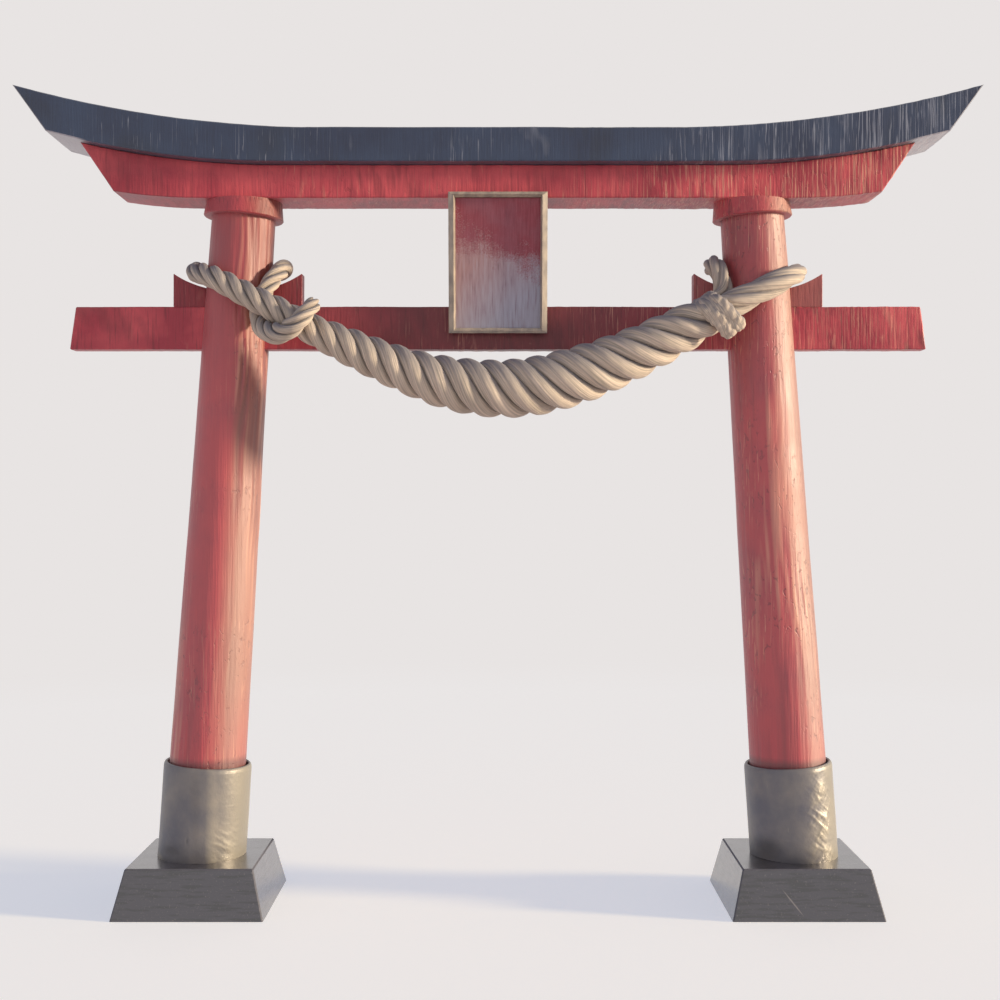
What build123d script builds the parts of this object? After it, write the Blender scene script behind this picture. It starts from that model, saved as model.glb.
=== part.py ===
"""A Japanese shrine gate (torii) of painted timber on stone plinths, with a thick straw rope.

Units are millimetres. +X runs along the lintels, +Y through the gate, +Z up. The origin is on the
ground, midway between the two pillars. "outer" is away from the passage and "inner" towards it.
"""

from build123d import *
from math import atan2, cos, degrees, pi, radians, sin, sqrt, tan
import os

os.makedirs("parts", exist_ok=True)

# ---------------------------------------------------------------- driving dimensions
FIT = 0.3  # room left between pieces that slide together
TIMBER_ARRIS = 4  # planed-off corner of the beams

SIDES = {"left": -1, "right": 1}

PLINTH_SPAN = 2472  # centre to centre of the two plinths
PLINTH_FOOT = 610  # square, on the ground
PLINTH_TOP = 514  # square, under the sleeve
PLINTH_HEIGHT = 197
PLINTH_ARRIS = 5  # worn corner of the stone

PILLAR_LEAN = 3.75  # degrees, both tops towards each other
PILLAR_FOOT_DIA = 322  # where it stands on the plinth
PILLAR_TOP_DIA = 260  # under the lower lintel

SLEEVE_HEIGHT = 384
SLEEVE_DIA = 361
SLEEVE_RIM = 6  # bevel round its upper rim

LOWER_LINTEL_Z = 2911  # its underside, over the pillars
LOWER_LINTEL_HEIGHT = 136  # mid-span, up to the top lintel
LOWER_LINTEL_DEPTH = 225
LOWER_LINTEL_LENGTH = 3156  # along the underside
LOWER_LINTEL_TOP_LENGTH = 3426  # along the top, past the slanting ends
LOWER_LINTEL_FLAT = 2460  # straight part of the underside
LOWER_LINTEL_SWEEP = 2200  # radius of its upturned ends

TOP_LINTEL_THICK = 137  # mid-span, at the eaves
TOP_LINTEL_DEPTH = 351
TOP_LINTEL_LENGTH = 3672  # along the underside
TOP_LINTEL_TOP_LENGTH = 3942  # along the eaves, tip to tip
TOP_LINTEL_FLAT = 1800  # straight part of the underside
TOP_LINTEL_SWEEP = 3625  # radius of its upturned ends
EAVES_FLAT = 1400  # straight part of the top edge
EAVES_SWEEP = 4750  # radius of its upturned ends
RIDGE_RISE = 34  # height of the ridge over the eaves

COLLAR_HEIGHT = 66
COLLAR_DIA = 330  # at its lower edge
COLLAR_TOP_DIA = 312
COLLAR_ARRIS = 4

TIE_Z = 2297  # underside of the tie beam
TIE_HEIGHT = 178
TIE_THICK = 80
TIE_LENGTH = 3508  # along its top
TIE_BOTTOM_LENGTH = 3556

WEDGE_REACH = 268  # from the pillar's axis to the wedge's thick end
WEDGE_TIP = 139  # height at the thick end
WEDGE_NECK = 79  # height where it enters the pillar
WEDGE_TOE = 60  # height at the thin end, inside the pillar
WEDGE_BITE = 60  # how far the thin end lies inside the pillar's face
WEDGE_THICK = 66
WEDGE_RISE = 0.25  # slope of its back where it leaves the pillar
WEDGE_ARRIS = 3

STRUT_WIDTH = 184
STRUT_THICK = 67

TABLET_WIDTH = 405
TABLET_HEIGHT = 577
TABLET_THICK = 50
TABLET_FOOT_Z = 2355
TABLET_BAR = 28  # width of the frame's bars
TABLET_BEVEL = 14  # sloping inner edge of the frame
TABLET_REBATE = 10
PANEL_THICK = 22
BATTEN_WIDTH = 150
BATTEN_HEIGHT = 45
BATTEN_INSET = 150  # from the tablet's ends to each batten

ROPE_MID_DIA = 240  # mid-span, the thickest place
ROPE_NECK_DIA = 116  # where the hanging middle meets the pillars
ROPE_SIDE_DIA = 76  # beside and behind the pillars
ROPE_END_DIA = 62  # at the ends of the tails
ROPE_SWELL = 1.3  # how late the middle thickens: 1 is a plain half wave
ROPE_STATION = 60  # spacing of the rope's cross-sections
ROPE_FLATS = 12  # sides of each cross-section
BEND_SHARE = 0.45  # of the shorter run beside a bend, which the bend's arc takes up

# ---------------------------------------------------------------- derived places
pillar_foot = PLINTH_SPAN / 2
lean = radians(PILLAR_LEAN)
tie_top = TIE_Z + TIE_HEIGHT
seat_z = LOWER_LINTEL_Z + LOWER_LINTEL_HEIGHT  # where the lower lintel carries the top one
eaves_z = seat_z + TOP_LINTEL_THICK


def axis_x(z):
    """How far a pillar's axis is from the middle of the gate at a height."""
    return pillar_foot - (z - PLINTH_HEIGHT) * tan(lean)


def pillar_radius(z):
    """A pillar's radius at a height, tapering evenly from foot to top."""
    share = (z - PLINTH_HEIGHT) / (LOWER_LINTEL_Z - PLINTH_HEIGHT)
    return PILLAR_FOOT_DIA / 2 + share * (PILLAR_TOP_DIA - PILLAR_FOOT_DIA) / 2


def pillar_plane(sign):
    """The upright plane through a pillar's axis: x is the distance outwards, y runs up the axis."""
    foot = (sign * pillar_foot, 0, PLINTH_HEIGHT)
    return Plane(foot, x_dir=(sign * cos(lean), 0, sin(lean)), z_dir=(0, -sign, 0))


def pillar_axis(sign):
    """The leaning line that a pillar and all that goes round it are turned about."""
    return Axis((sign * pillar_foot, 0, PLINTH_HEIGHT), (-sign * sin(lean), 0, cos(lean)))


def turned_profile(*corners):
    """A closed profile of (radius, height) corners, to be turned about a pillar's axis."""
    with BuildLine() as profile:
        Polyline(*[(radius, (z - PLINTH_HEIGHT) / cos(lean)) for radius, z in corners], close=True)
    return profile.line


def elevation(y):
    """The upright plane seen from the front, at a distance y through the gate."""
    return Plane.XZ.offset(-y)


def upturn(x, flat, sweep):
    """How far an upturned edge has risen at x, with a straight run and then an arc."""
    return sweep - sqrt(sweep**2 - (x - flat / 2) ** 2)


# ---------------------------------------------------------------- plinths, sleeves and pillars
plinth_slope = degrees(atan2((PLINTH_FOOT - PLINTH_TOP) / 2, PLINTH_HEIGHT))
for side, sign in SIDES.items():
    with BuildPart() as plinth:
        with BuildSketch(Plane((sign * pillar_foot, 0, 0))):
            Rectangle(PLINTH_FOOT, PLINTH_FOOT)
        extrude(amount=PLINTH_HEIGHT, taper=plinth_slope)
        on_ground = plinth.faces().sort_by(Axis.Z)[0].edges()
        chamfer(plinth.edges() - on_ground, length=PLINTH_ARRIS)
    plinth.part.label = f"{side}_plinth"
    export_step(plinth.part, f"parts/{side}_plinth.step")

for side, sign in SIDES.items():
    below = PLINTH_HEIGHT - SLEEVE_DIA * sin(lean)  # low enough to be cut level on the plinth
    above = PLINTH_HEIGHT + SLEEVE_HEIGHT
    bore = pillar_radius(below) + FIT  # straight, round the thick end of the tapering pillar
    with BuildPart() as sleeve:
        with BuildSketch(pillar_plane(sign)):
            with BuildLine():
                add(
                    turned_profile(
                        (bore, below),
                        (SLEEVE_DIA / 2, below),
                        (SLEEVE_DIA / 2, above),
                        (bore, above),
                    )
                )
            make_face()
        revolve(axis=pillar_axis(sign))
        rims = sleeve.edges().filter_by(GeomType.CIRCLE).group_by(Axis.Z)[-1]
        chamfer(rims.sort_by(SortBy.RADIUS)[-1], length=SLEEVE_RIM)
        split(bisect_by=Plane.XY.offset(PLINTH_HEIGHT), keep=Keep.TOP)
    sleeve.part.label = f"{side}_sleeve"
    export_step(sleeve.part, f"parts/{side}_sleeve.step")

for side, sign in SIDES.items():
    below = PLINTH_HEIGHT - PILLAR_FOOT_DIA * sin(lean)
    above = LOWER_LINTEL_Z + PILLAR_TOP_DIA * sin(lean)
    mortise_x = sign * axis_x(tie_top)
    through = 2 * PILLAR_FOOT_DIA  # long enough to go right through the pillar
    with BuildPart() as pillar:
        with BuildSketch(pillar_plane(sign)):
            with BuildLine():
                add(
                    turned_profile(
                        (0, below),
                        (pillar_radius(below), below),
                        (pillar_radius(above), above),
                        (0, above),
                    )
                )
            make_face()
        revolve(axis=pillar_axis(sign))
        split(bisect_by=Plane.XY.offset(PLINTH_HEIGHT), keep=Keep.TOP)
        split(bisect_by=Plane.XY.offset(LOWER_LINTEL_Z), keep=Keep.BOTTOM)
        with BuildSketch(elevation(0)):
            with Locations((mortise_x, (TIE_Z + tie_top) / 2)):
                Rectangle(through, TIE_HEIGHT + 2 * FIT)
        extrude(amount=TIE_THICK / 2 + FIT, both=True, mode=Mode.SUBTRACT)
        with BuildSketch(elevation(0)):
            with Locations((mortise_x, tie_top + WEDGE_NECK / 2)):
                Rectangle(through, WEDGE_NECK + 2 * FIT)
        extrude(amount=WEDGE_THICK / 2 + FIT, both=True, mode=Mode.SUBTRACT)
    pillar.part.label = f"{side}_pillar"
    export_step(pillar.part, f"parts/{side}_pillar.step")

# ---------------------------------------------------------------- collars under the lower lintel
for side, sign in SIDES.items():
    below = LOWER_LINTEL_Z - COLLAR_HEIGHT
    above = LOWER_LINTEL_Z + COLLAR_DIA * sin(lean)  # high enough to be cut level under the lintel
    bore = pillar_radius(below) + FIT
    flare = (COLLAR_DIA - COLLAR_TOP_DIA) / 2 * (above - below) / COLLAR_HEIGHT
    with BuildPart() as collar:
        with BuildSketch(pillar_plane(sign)):
            with BuildLine():
                add(
                    turned_profile(
                        (bore, below),
                        (COLLAR_DIA / 2, below),
                        (COLLAR_DIA / 2 - flare, above),
                        (bore, above),
                    )
                )
            make_face()
        revolve(axis=pillar_axis(sign))
        rims = collar.edges().filter_by(GeomType.CIRCLE).group_by(Axis.Z)[0]
        chamfer(rims.sort_by(SortBy.RADIUS)[-1], length=COLLAR_ARRIS)
        split(bisect_by=Plane.XY.offset(LOWER_LINTEL_Z), keep=Keep.BOTTOM)
    collar.part.label = f"{side}_collar"
    export_step(collar.part, f"parts/{side}_collar.step")

# ---------------------------------------------------------------- tie beam and its wedges
with BuildPart() as tie_beam:
    with BuildSketch(elevation(0)):
        with BuildLine():
            Polyline(
                (-TIE_BOTTOM_LENGTH / 2, TIE_Z),
                (TIE_BOTTOM_LENGTH / 2, TIE_Z),
                (TIE_LENGTH / 2, tie_top),
                (-TIE_LENGTH / 2, tie_top),
                close=True,
            )
        make_face()
    extrude(amount=TIE_THICK / 2, both=True)
    chamfer(tie_beam.edges(), length=TIMBER_ARRIS)
tie_beam.part.label = "tie_beam"
export_step(tie_beam.part, "parts/tie_beam.step")

for side, sign in SIDES.items():
    for place, outward in {"outer": sign, "inner": -sign}.items():
        axis = sign * axis_x(tie_top + WEDGE_NECK)
        radius = pillar_radius(tie_top + WEDGE_NECK)
        thick_end = axis + outward * WEDGE_REACH
        neck = axis + outward * radius
        toe = axis + outward * (radius - WEDGE_BITE)
        with BuildPart() as wedge:
            with BuildSketch(elevation(0)):
                with BuildLine():
                    Polyline(
                        (neck, tie_top + WEDGE_NECK),
                        (toe, tie_top + WEDGE_TOE),
                        (toe, tie_top),
                        (thick_end, tie_top),
                        (thick_end, tie_top + WEDGE_TIP),
                    )
                    TangentArc(
                        (neck, tie_top + WEDGE_NECK),
                        (thick_end, tie_top + WEDGE_TIP),
                        tangent=(outward, WEDGE_RISE),
                    )
                make_face()
            extrude(amount=WEDGE_THICK / 2, both=True)
            back = wedge.faces().sort_by(Axis.X)[-1 if outward > 0 else 0]
            chamfer(back.edges(), length=WEDGE_ARRIS)
        wedge.part.label = f"{side}_{place}_wedge"
        export_step(wedge.part, f"parts/{side}_{place}_wedge.step")


# ---------------------------------------------------------------- lintels
def lintel_outline(bottom, top):
    """A symmetrical front outline. Each edge is its height, straight run, and end corner."""
    bottom_z, bottom_flat, bottom_end = bottom
    top_z, top_flat, top_end = top
    with BuildLine() as outline:
        Line((0, bottom_z), (bottom_flat / 2, bottom_z))
        TangentArc((bottom_flat / 2, bottom_z), bottom_end, tangent=(1, 0))
        Line(bottom_end, top_end)
        TangentArc((top_flat / 2, top_z), top_end, tangent=(1, 0))
        Line((top_flat / 2, top_z), (0, top_z))
        mirror(about=Plane.YZ)
    return outline.line


lower_x = LOWER_LINTEL_LENGTH / 2
lower_end = (lower_x, LOWER_LINTEL_Z + upturn(lower_x, LOWER_LINTEL_FLAT, LOWER_LINTEL_SWEEP))
seat_x = LOWER_LINTEL_TOP_LENGTH / 2
seat_end = (seat_x, seat_z + upturn(seat_x, TOP_LINTEL_FLAT, TOP_LINTEL_SWEEP))
lower_outline = lintel_outline(
    (LOWER_LINTEL_Z, LOWER_LINTEL_FLAT, lower_end),
    (seat_z, TOP_LINTEL_FLAT, seat_end),
)
with BuildPart() as lower_lintel:
    with BuildSketch(elevation(0)):
        with BuildLine():
            add(lower_outline)
        make_face()
    extrude(amount=LOWER_LINTEL_DEPTH / 2, both=True)
    chamfer(lower_lintel.faces().filter_by(Axis.Y).edges(), length=TIMBER_ARRIS)
lower_lintel.part.label = "lower_lintel"
export_step(lower_lintel.part, "parts/lower_lintel.step")

under_x = TOP_LINTEL_LENGTH / 2
under_end = (under_x, seat_z + upturn(under_x, TOP_LINTEL_FLAT, TOP_LINTEL_SWEEP))
eaves_x = TOP_LINTEL_TOP_LENGTH / 2
eaves_end = (eaves_x, eaves_z + upturn(eaves_x, EAVES_FLAT, EAVES_SWEEP))
end_slope = (eaves_end[0] - under_end[0]) / (eaves_end[1] - under_end[1])
ridge_end = (eaves_end[0] + RIDGE_RISE * end_slope, eaves_end[1] + RIDGE_RISE)
underside = (seat_z, TOP_LINTEL_FLAT, under_end)
eaves_outline = lintel_outline(underside, (eaves_z, EAVES_FLAT, eaves_end))
ridge_outline = lintel_outline(underside, (eaves_z + RIDGE_RISE, EAVES_FLAT, ridge_end))
with BuildPart() as top_lintel:
    with BuildSketch(elevation(-TOP_LINTEL_DEPTH / 2)):
        with BuildLine():
            add(eaves_outline)
        make_face()
    with BuildSketch(elevation(0)):
        with BuildLine():
            add(ridge_outline)
        make_face()
    with BuildSketch(elevation(TOP_LINTEL_DEPTH / 2)):
        with BuildLine():
            add(eaves_outline)
        make_face()
    loft(ruled=True)
    chamfer(top_lintel.faces().filter_by(Axis.Y).edges(), length=TIMBER_ARRIS)
top_lintel.part.label = "top_lintel"
export_step(top_lintel.part, "parts/top_lintel.step")

# ---------------------------------------------------------------- strut and name tablet
with BuildPart() as strut:
    with BuildSketch(Plane.XY.offset(tie_top)):
        Rectangle(STRUT_WIDTH, STRUT_THICK)
    extrude(amount=LOWER_LINTEL_Z - tie_top)
    chamfer(strut.edges().filter_by(Axis.Z), length=TIMBER_ARRIS)
strut.part.label = "strut"
export_step(strut.part, "parts/strut.step")

# The tablet leans out at the top: its back touches the tie beam's face and the lower lintel's edge.
tablet_foot_y = -TIE_THICK / 2 - FIT
tablet_lean = atan2((LOWER_LINTEL_DEPTH - TIE_THICK) / 2, LOWER_LINTEL_Z - TABLET_FOOT_Z)
tablet_back = Plane(
    (0, tablet_foot_y, TABLET_FOOT_Z),
    x_dir=(1, 0, 0),
    z_dir=(0, -cos(tablet_lean), -sin(tablet_lean)),
)
rebate_floor = PANEL_THICK + FIT
half_width = TABLET_WIDTH / 2


def bar_outline(start, end, inward, width):
    """A mitred bar's corners: its outer edge from start to end, and its width towards inward."""
    start, end = Vector(*start), Vector(*end)
    along = (end - start).normalized() * width
    inset = Vector(*inward) * width
    return [start, end, end + inset - along, start + inset + along]


TABLET_BARS = {
    "tablet_sill": ((-half_width, 0), (half_width, 0), (0, 1)),
    "tablet_right_stile": ((half_width, 0), (half_width, TABLET_HEIGHT), (-1, 0)),
    "tablet_head": ((half_width, TABLET_HEIGHT), (-half_width, TABLET_HEIGHT), (0, -1)),
    "tablet_left_stile": ((-half_width, TABLET_HEIGHT), (-half_width, 0), (1, 0)),
}
for name, (start, end, inward) in TABLET_BARS.items():
    inner_way = tablet_back.from_local_coords(Vector(*inward)) - tablet_back.origin
    with BuildPart() as bar:
        with BuildSketch(tablet_back):
            with BuildLine():
                Polyline(*bar_outline(start, end, inward, TABLET_BAR - TABLET_REBATE), close=True)
            make_face()
        extrude(amount=rebate_floor)
        with BuildSketch(tablet_back.offset(rebate_floor)):
            with BuildLine():
                Polyline(*bar_outline(start, end, inward, TABLET_BAR), close=True)
            make_face()
        extrude(amount=TABLET_THICK - rebate_floor)
        front = bar.faces().sort_by(Axis(tablet_back.origin, tablet_back.z_dir))[-1]
        chamfer(front.edges().sort_by(Axis(tablet_back.origin, inner_way))[-1], length=TABLET_BEVEL)
    bar.part.label = name
    export_step(bar.part, f"parts/{name}.step")

panel_play = 2 * (TABLET_BAR - TABLET_REBATE + FIT)
with BuildPart() as tablet_panel:
    with BuildSketch(tablet_back):
        with Locations((0, TABLET_HEIGHT / 2)):
            Rectangle(TABLET_WIDTH - panel_play, TABLET_HEIGHT - panel_play)
    extrude(amount=PANEL_THICK)
tablet_panel.part.label = "tablet_panel"
export_step(tablet_panel.part, "parts/tablet_panel.step")

for name, along in {"lower": BATTEN_INSET, "upper": TABLET_HEIGHT - BATTEN_INSET}.items():
    level = TABLET_FOOT_Z + along * cos(tablet_lean)
    with BuildPart() as batten:
        with BuildSketch(elevation(-STRUT_THICK / 2)):
            with Locations((0, level)):
                Rectangle(BATTEN_WIDTH, BATTEN_HEIGHT)
        extrude(amount=LOWER_LINTEL_DEPTH)
        split(bisect_by=tablet_back, keep=Keep.BOTTOM)
    batten.part.label = f"{name}_batten"
    export_step(batten.part, f"parts/{name}_batten.step")

# ---------------------------------------------------------------- straw rope
# The rope's route from the left tail's end to the right tail's end: once round each pillar, with
# each tail hitched over the hanging middle. The arcs between the runs are as large as the runs allow.
ROPE_ROUTE = {
    "rope_left_tail": [
        (-728, -292, 2462),
        (-762, -352, 2368),
        (-835, -310, 2296),
        (-915, -240, 2312),
        (-975, -158, 2386),
        (-974, -133, 2478),
        (-938, -112, 2560),
        (-889, -45, 2640),
        (-900, 73, 2640),
        (-1003, 176, 2640),
        (-1152, 179, 2636),
    ],
    "rope_left_wrap": [
        (-1251, 73, 2630),
        (-1257, -79, 2615),
        (-1154, -187, 2578),
        (-1075, -206, 2533),
        (-990, -227, 2487),
        (-880, -238, 2432),
    ],
    "rope_middle": [
        (-760, -236, 2362),
        (-625, -230, 2300),
        (-480, -221, 2235),
        (-330, -213, 2177),
        (-165, -207, 2134),
        (0, -205, 2117),
        (165, -205, 2131),
        (330, -206, 2176),
        (490, -207, 2236),
        (640, -208, 2306),
        (775, -206, 2377),
    ],
    "rope_right_wrap": [
        (890, -203, 2436),
        (1010, -197, 2493),
        (1155, -186, 2565),
        (1257, -79, 2614),
        (1251, 73, 2630),
    ],
    "rope_right_tail": [
        (1150, 176, 2636),
        (1003, 176, 2642),
        (900, 73, 2650),
        (896, -55, 2655),
        (893, -98, 2570),
        (872, -112, 2508),
        (820, -128, 2492),
        (780, -202, 2512),
        (790, -295, 2470),
        (838, -328, 2395),
        (890, -308, 2332),
        (930, -275, 2300),
    ],
}

route = [Vector(*point) for stretch in ROPE_ROUTE.values() for point in stretch]
bends = []
for before, corner, after in zip(route, route[1:], route[2:]):
    turn = (corner - before).get_angle(after - corner)
    shorter = min((corner - before).length, (after - corner).length)
    bends.append(BEND_SHARE * shorter / tan(radians(turn) / 2))
print("rope bend radii, mm:", [round(bend) for bend in bends])
with BuildLine() as rope_line:
    FilletPolyline(*route, radius=bends)
runs = rope_line.wires()[0].order_edges()  # straight, arc, straight, arc ... straight

ROPE_DIAS = {
    "rope_left_tail": (ROPE_END_DIA, ROPE_SIDE_DIA),
    "rope_left_wrap": (ROPE_SIDE_DIA, ROPE_NECK_DIA),
    "rope_middle": (ROPE_NECK_DIA, ROPE_NECK_DIA),
    "rope_right_wrap": (ROPE_NECK_DIA, ROPE_SIDE_DIA),
    "rope_right_tail": (ROPE_SIDE_DIA, ROPE_END_DIA),
}
across = Vector(0, 0, 1)
passed = 0  # points of the route behind the stretch, each with a run and an arc
for name, points in ROPE_ROUTE.items():
    stretch = Wire(runs[max(0, 2 * passed - 2) : 2 * (passed + len(points)) - 2])
    passed += len(points)
    start_dia, end_dia = ROPE_DIAS[name]
    swell = ROPE_MID_DIA - ROPE_NECK_DIA if name == "rope_middle" else 0
    stations = round(stretch.length / ROPE_STATION)
    with BuildPart() as rope:
        for i in range(stations + 1):
            share = i / stations
            heading = stretch.tangent_at(share)
            across = (across - heading * across.dot(heading)).normalized()
            dia = start_dia + (end_dia - start_dia) * share + swell * sin(pi * share) ** ROPE_SWELL
            with BuildSketch(Plane(stretch.position_at(share), x_dir=across, z_dir=heading)):
                RegularPolygon(radius=dia / 2, side_count=ROPE_FLATS)
        loft(ruled=True)
    print(name, "length", round(stretch.length), "volume", round(rope.part.volume))
    rope.part.label = name
    export_step(rope.part, f"parts/{name}.step")
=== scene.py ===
# %% [markdown]
# A weathered torii, the gate of a Shinto shrine: two leaning pillars in metal sleeves on
# stone plinths, a tie beam with wedges, two upturned lintels, a tablet and a straw rope.
# The solids of the part are the fixed frame. What they leave plain is added here: the marks
# of the adze in the timber, the dents of the sleeves, the strands of the rope, the finishes.

# %% Load the frame
import math
from functools import partial

import bmesh
import bpy
import numpy as np
from mathutils import Matrix, Vector, noise


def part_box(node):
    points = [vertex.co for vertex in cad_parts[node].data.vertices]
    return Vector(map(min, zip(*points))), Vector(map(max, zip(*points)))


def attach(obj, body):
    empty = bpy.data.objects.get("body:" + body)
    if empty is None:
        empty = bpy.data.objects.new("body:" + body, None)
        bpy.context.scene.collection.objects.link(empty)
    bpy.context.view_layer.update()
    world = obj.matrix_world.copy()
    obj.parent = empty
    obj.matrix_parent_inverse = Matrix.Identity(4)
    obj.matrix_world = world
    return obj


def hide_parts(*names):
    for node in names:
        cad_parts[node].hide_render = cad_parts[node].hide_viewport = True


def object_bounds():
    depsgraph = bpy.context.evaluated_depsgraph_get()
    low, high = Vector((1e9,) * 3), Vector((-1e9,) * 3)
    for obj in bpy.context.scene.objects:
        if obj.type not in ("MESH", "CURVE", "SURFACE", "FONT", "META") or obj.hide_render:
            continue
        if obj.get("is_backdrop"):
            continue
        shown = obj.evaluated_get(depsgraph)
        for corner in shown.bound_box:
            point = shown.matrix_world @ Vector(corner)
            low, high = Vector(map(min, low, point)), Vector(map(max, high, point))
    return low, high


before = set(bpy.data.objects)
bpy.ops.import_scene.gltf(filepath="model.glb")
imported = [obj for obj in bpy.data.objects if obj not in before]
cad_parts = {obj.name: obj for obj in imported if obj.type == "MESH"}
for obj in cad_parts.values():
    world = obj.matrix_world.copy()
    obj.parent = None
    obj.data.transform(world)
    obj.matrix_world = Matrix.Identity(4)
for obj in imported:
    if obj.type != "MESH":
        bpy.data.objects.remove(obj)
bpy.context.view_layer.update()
scene = bpy.context.scene
MM = 0.001
NEAR = 1e-5  # points nearer than this, in metres, are one point
SIDES = (("left", -1), ("right", 1))

# %% [markdown]
# The gate is seen straight on, from about half its height and from less than six metres
# away. So near a standpoint shows the underside of the lintels and the tops of the plinths
# at once, which a longer lens from further off would flatten.

# %% Camera
EYE = (0.0084, -5.806, 1.672)  # metres


def add_object(name, data):
    """A new object in the scene, at the origin."""
    made = bpy.data.objects.new(name, data)
    scene.collection.objects.link(made)
    return made


camera = add_object("camera", bpy.data.cameras.new("camera"))
scene.camera = camera
camera.location = EYE
camera.rotation_euler = (math.radians(90), 0, 0)
camera.data.lens = 50
camera.data.sensor_width = 36
scene.view_settings.view_transform = "Standard"
print("camera", tuple(camera.location), camera.data.lens, "mm")

# %% [markdown]
# The rope is the one free thing on the gate, so its route comes before all else. It is a
# hanging curve that swells towards its middle, goes round each pillar from the front, and
# is tied to itself on the inner side. The points follow the route of the solids. A NURBS
# line through such points bends evenly, as heavy rope does.

# %% Route of the rope
ROPE_STEP = 6 * MM
ROPE_ROUTE = [
    (-722, -296, 2462), (-762, -346, 2396), (-830, -322, 2338), (-905, -248, 2334),
    (-972, -166, 2386), (-974, -133, 2478), (-938, -112, 2560), (-889, -45, 2640),
    (-900, 73, 2640), (-1003, 176, 2640), (-1152, 179, 2636), (-1251, 73, 2630),
    (-1257, -79, 2615), (-1154, -187, 2578), (-1075, -206, 2533), (-990, -227, 2487),
    (-880, -238, 2432), (-760, -236, 2362), (-625, -230, 2300), (-480, -221, 2235),
    (-330, -213, 2177), (-165, -207, 2134), (0, -205, 2117), (165, -205, 2131),
    (330, -206, 2176), (490, -207, 2236), (640, -208, 2306), (775, -206, 2377),
    (890, -203, 2436), (1010, -197, 2493), (1155, -182, 2565), (1250, -79, 2614),
    (1246, 73, 2630), (1150, 174, 2636), (1003, 174, 2642), (900, 73, 2650),
    (896, -55, 2655), (922, -96, 2580), (925, -104, 2515), (870, -122, 2468),
    (826, -190, 2472), (834, -262, 2458), (874, -286, 2424), (918, -281, 2380),
    (956, -262, 2338),
]


def smooth_line(points_mm, name):
    """The points, in metres, of a NURBS line of order 3 that starts and ends on its ends."""
    route = bpy.data.curves.new(name, "CURVE")
    route.dimensions = "3D"
    spline = route.splines.new("NURBS")
    spline.points.add(len(points_mm) - 1)
    for point, place in zip(spline.points, points_mm):
        point.co = (*(Vector(place) * MM), 1)
    spline.order_u = 3
    spline.use_endpoint_u = True
    spline.resolution_u = 32
    holder = bpy.data.objects.new(name, route)
    line = bpy.data.meshes.new_from_object(holder)
    places = np.array([v.co for v in line.vertices])
    bpy.data.objects.remove(holder)
    bpy.data.meshes.remove(line)
    return places


def evenly(places, step):
    """The same line with its points a step apart, and how far along it each one is."""
    runs = np.linalg.norm(np.diff(places, axis=0), axis=1)
    along = np.concatenate([[0], np.cumsum(runs)])
    even = np.linspace(0, along[-1], round(along[-1] / step) + 1)
    return np.stack([np.interp(even, along, places[:, i]) for i in range(3)], 1), even


rope_line, rope_along = evenly(smooth_line(ROPE_ROUTE, "rope_route"), ROPE_STEP)
print("rope", round(float(rope_along[-1]), 3), "m, points", len(rope_line))

# %% [markdown]
# A shimenawa is laid from thick strands of rice straw. Four strands turn round each other,
# to the right, once in 400 mm at the middle. At the right pillar the lay has opened, and the
# last turn is spread flat like a flap. A round bar with a twisted normal map would have a
# smooth outline, so every strand is modelled. Two tables say how thick the rope is and how
# fast it turns, by how far along it one is, in metres.

# %% Thickness and lay of the rope
STRANDS = 4


def rope_radius(along):
    """Half the rope's thickness: thin tails, and a belly that is fuller on its right."""
    return np.interp(
        along,
        [0, 0.25, 0.5, 1.2, 1.6, 1.93, 2.08, 2.2, 2.35, 2.5, 2.65, 2.85, 3.05, 3.2, 3.35,
         3.5, 3.6, 3.68, 3.76, 4.0, 4.12, 4.2, 4.6, 4.8, 5.5],
        [0.032, 0.045, 0.037, 0.038, 0.050, 0.058, 0.071, 0.080, 0.089, 0.103, 0.114, 0.120,
         0.119, 0.113, 0.104, 0.097, 0.091, 0.075, 0.058, 0.050, 0.040, 0.034, 0.035, 0.040,
         0.038],
    )


def lay_pitch(along):
    """The length of one full turn of the strands."""
    return np.interp(
        along,
        [0, 1.2, 1.9, 2.5, 3.2, 3.6, 3.8, 4.0, 4.3, 4.6, 5.5],
        [0.27, 0.30, 0.325, 0.40, 0.41, 0.46, 0.55, 0.7, 0.75, 0.5, 0.5],
    )


print("belly", 2 * float(rope_radius(2.85)), "m thick, lay", float(lay_pitch(2.5)), "m")

# %% [markdown]
# A strand needs a direction that is square to the rope and turns no more than the rope
# bends. Then its helix can turn at its own pace. The strand's thickness follows from its
# neighbours: they press against each other, more or less hard.

# %% Geometry of a lay
def unit(vectors):
    """The same directions, each one long."""
    return vectors / np.linalg.norm(vectors, axis=1, keepdims=True)


def untwisted(line):
    """Tangents of a line, and normals that turn with it as little as they can."""
    tangents = unit(np.gradient(line, axis=0))
    normals = np.empty_like(tangents)
    normal = np.cross(tangents[0], (0, 0, 1))
    for i, tangent in enumerate(tangents):
        normal = normal - tangent * (normal @ tangent)
        normal /= np.linalg.norm(normal)
        normals[i] = normal
    return tangents, normals, np.cross(tangents, normals)


def strand_size(radius, pitch, pressed):
    """Radius of a strand pressed into its neighbours, and of the helix it lies on."""
    strand = radius * 0.4  # a first guess, which the loop corrects
    for _ in range(24):  # more than enough for it to settle
        across = math.sqrt(2) * (radius - strand)
        apart = pitch / STRANDS
        strand = (strand + pressed * across * apart / np.sqrt(across**2 + apart**2)) / 2
    return strand, radius - strand


def ramp(values, start, end):
    """0 before the start, 1 after the end, and a smooth rise between them."""
    share = np.clip((values - start) / (end - start), 0, 1)
    return share * share * (3 - 2 * share)


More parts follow.
